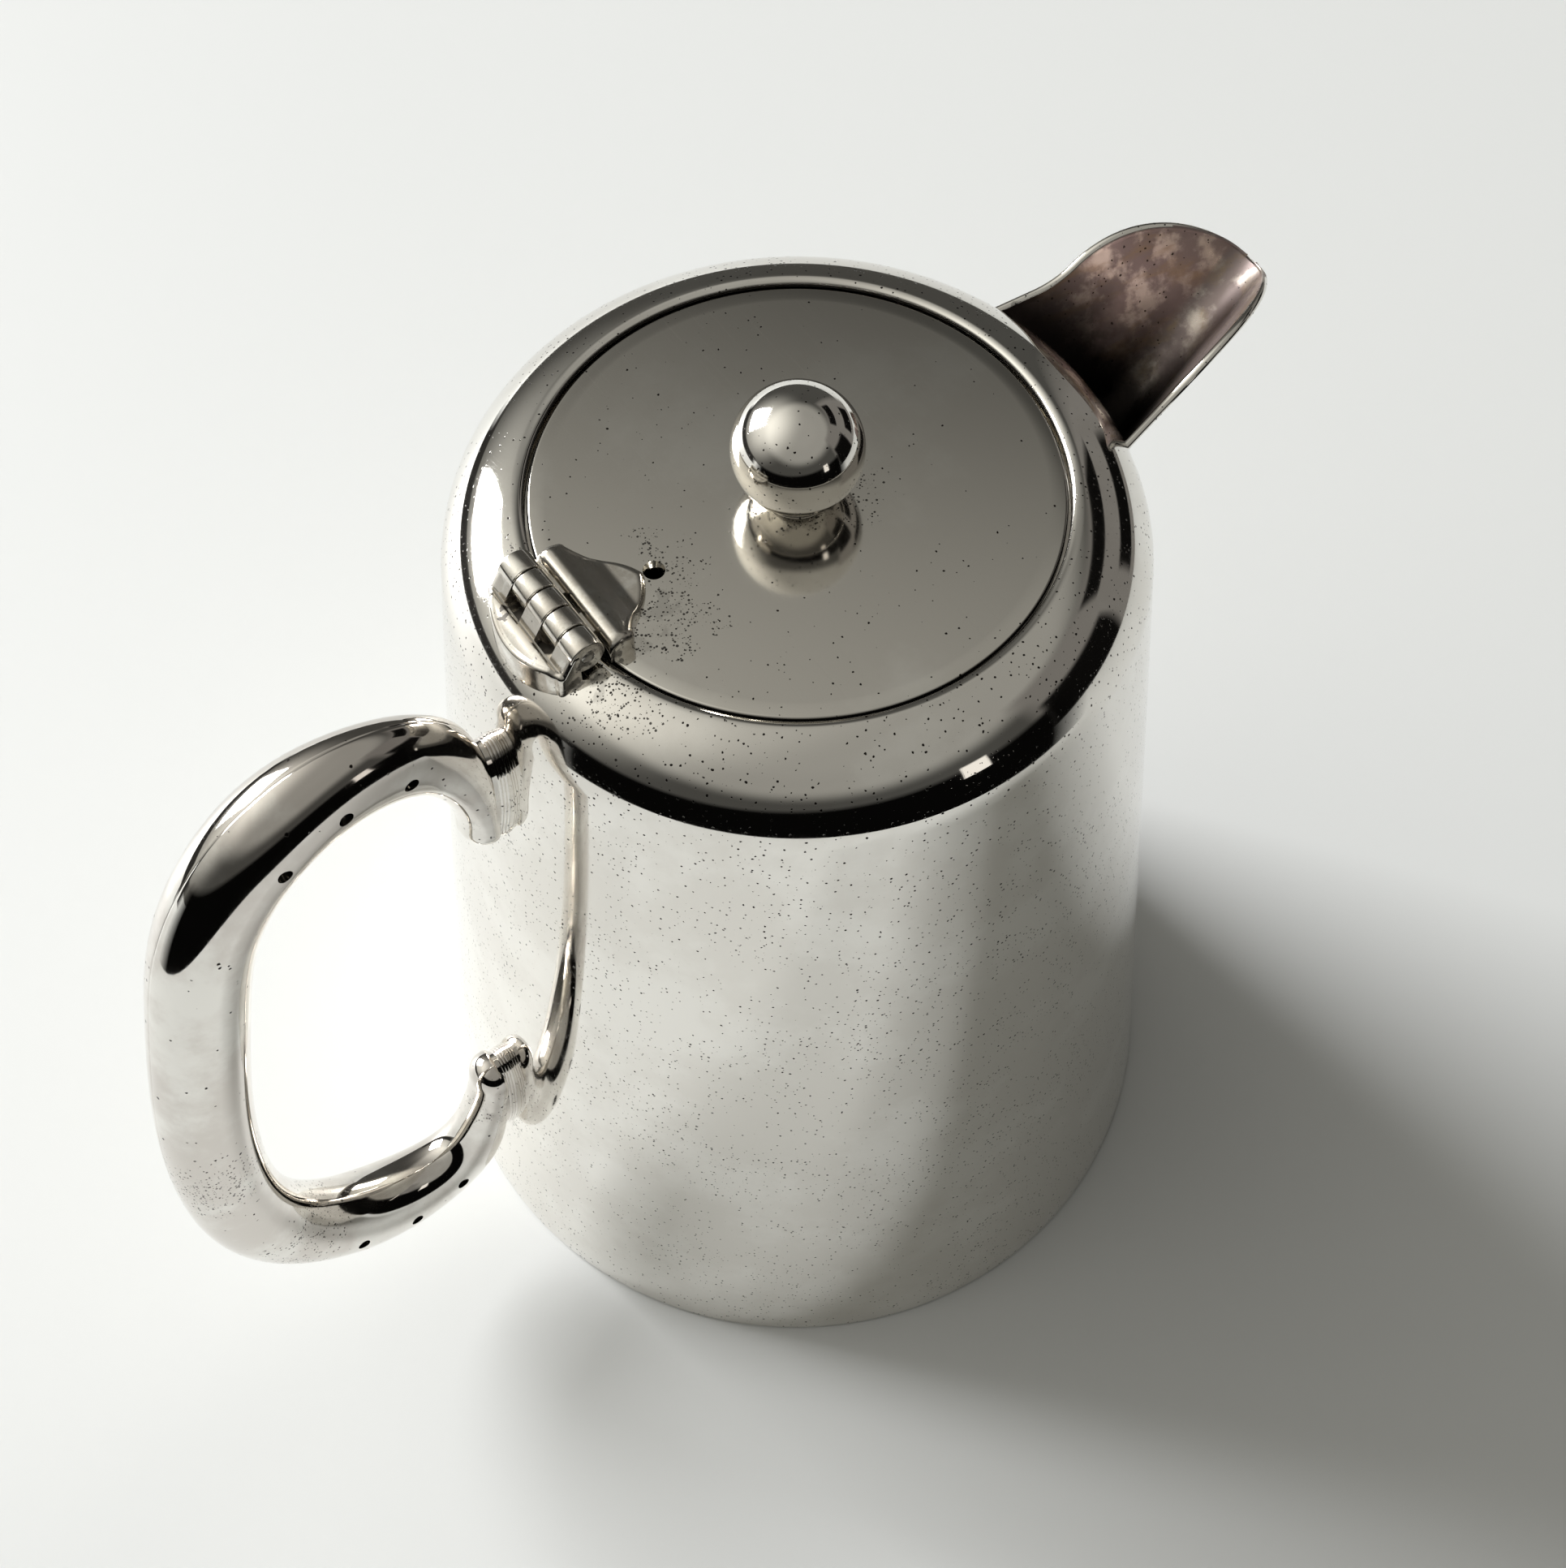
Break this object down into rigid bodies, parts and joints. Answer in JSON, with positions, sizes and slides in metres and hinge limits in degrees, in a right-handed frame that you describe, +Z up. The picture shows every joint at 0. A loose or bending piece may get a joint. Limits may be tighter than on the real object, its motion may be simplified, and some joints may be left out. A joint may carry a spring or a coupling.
{
  "type": "teapot",
  "caption": "Tapered plated-metal teapot with a rolled shoulder, an open pouring spout, a hollow loop handle and a flat hinged lid with a ball knob.",
  "frame": {"origin": "centre of the foot, on the table", "axes": "+Z up, +X towards the spout, -X towards the handle, +Y to the pot's left seen from behind the handle"},
  "size_m": [0.1623, 0.106, 0.1453],
  "materials": {
    "polished_plate": "polished silver plate with small dark pits",
    "worn_plate": "silver plate gone satin with fine scratches",
    "tarnished_plate": "polished outside, tarnished brown to black inside",
    "bare_metal": "dull bare metal"
  },
  "bodies": {
    "pot": {"body_shell": "polished_plate", "base_plate": "polished_plate", "mouth_ring": "polished_plate", "spout": "tarnished_plate", "upper_socket": "polished_plate", "lower_socket": "polished_plate", "handle_left_half": "polished_plate", "handle_right_half": "polished_plate", "hinge_body_leaf": "polished_plate", "hinge_pin": "bare_metal"},
    "lid": {"lid_plate": "worn_plate", "lid_bezel": "polished_plate", "hinge_lid_leaf": "worn_plate", "knob_collar": "polished_plate", "knob_ball": "polished_plate", "knob_stud": "bare_metal", "knob_washer": "bare_metal", "knob_nut": "bare_metal"}
  },
  "joints": [
    {"name": "lid_hinge", "type": "hinge", "parent": "pot", "child": "lid", "pos_m": [-0.0319, 0, 0.13349], "axis": [0, -1, 0], "range_deg": [0, 100]}
  ]
}
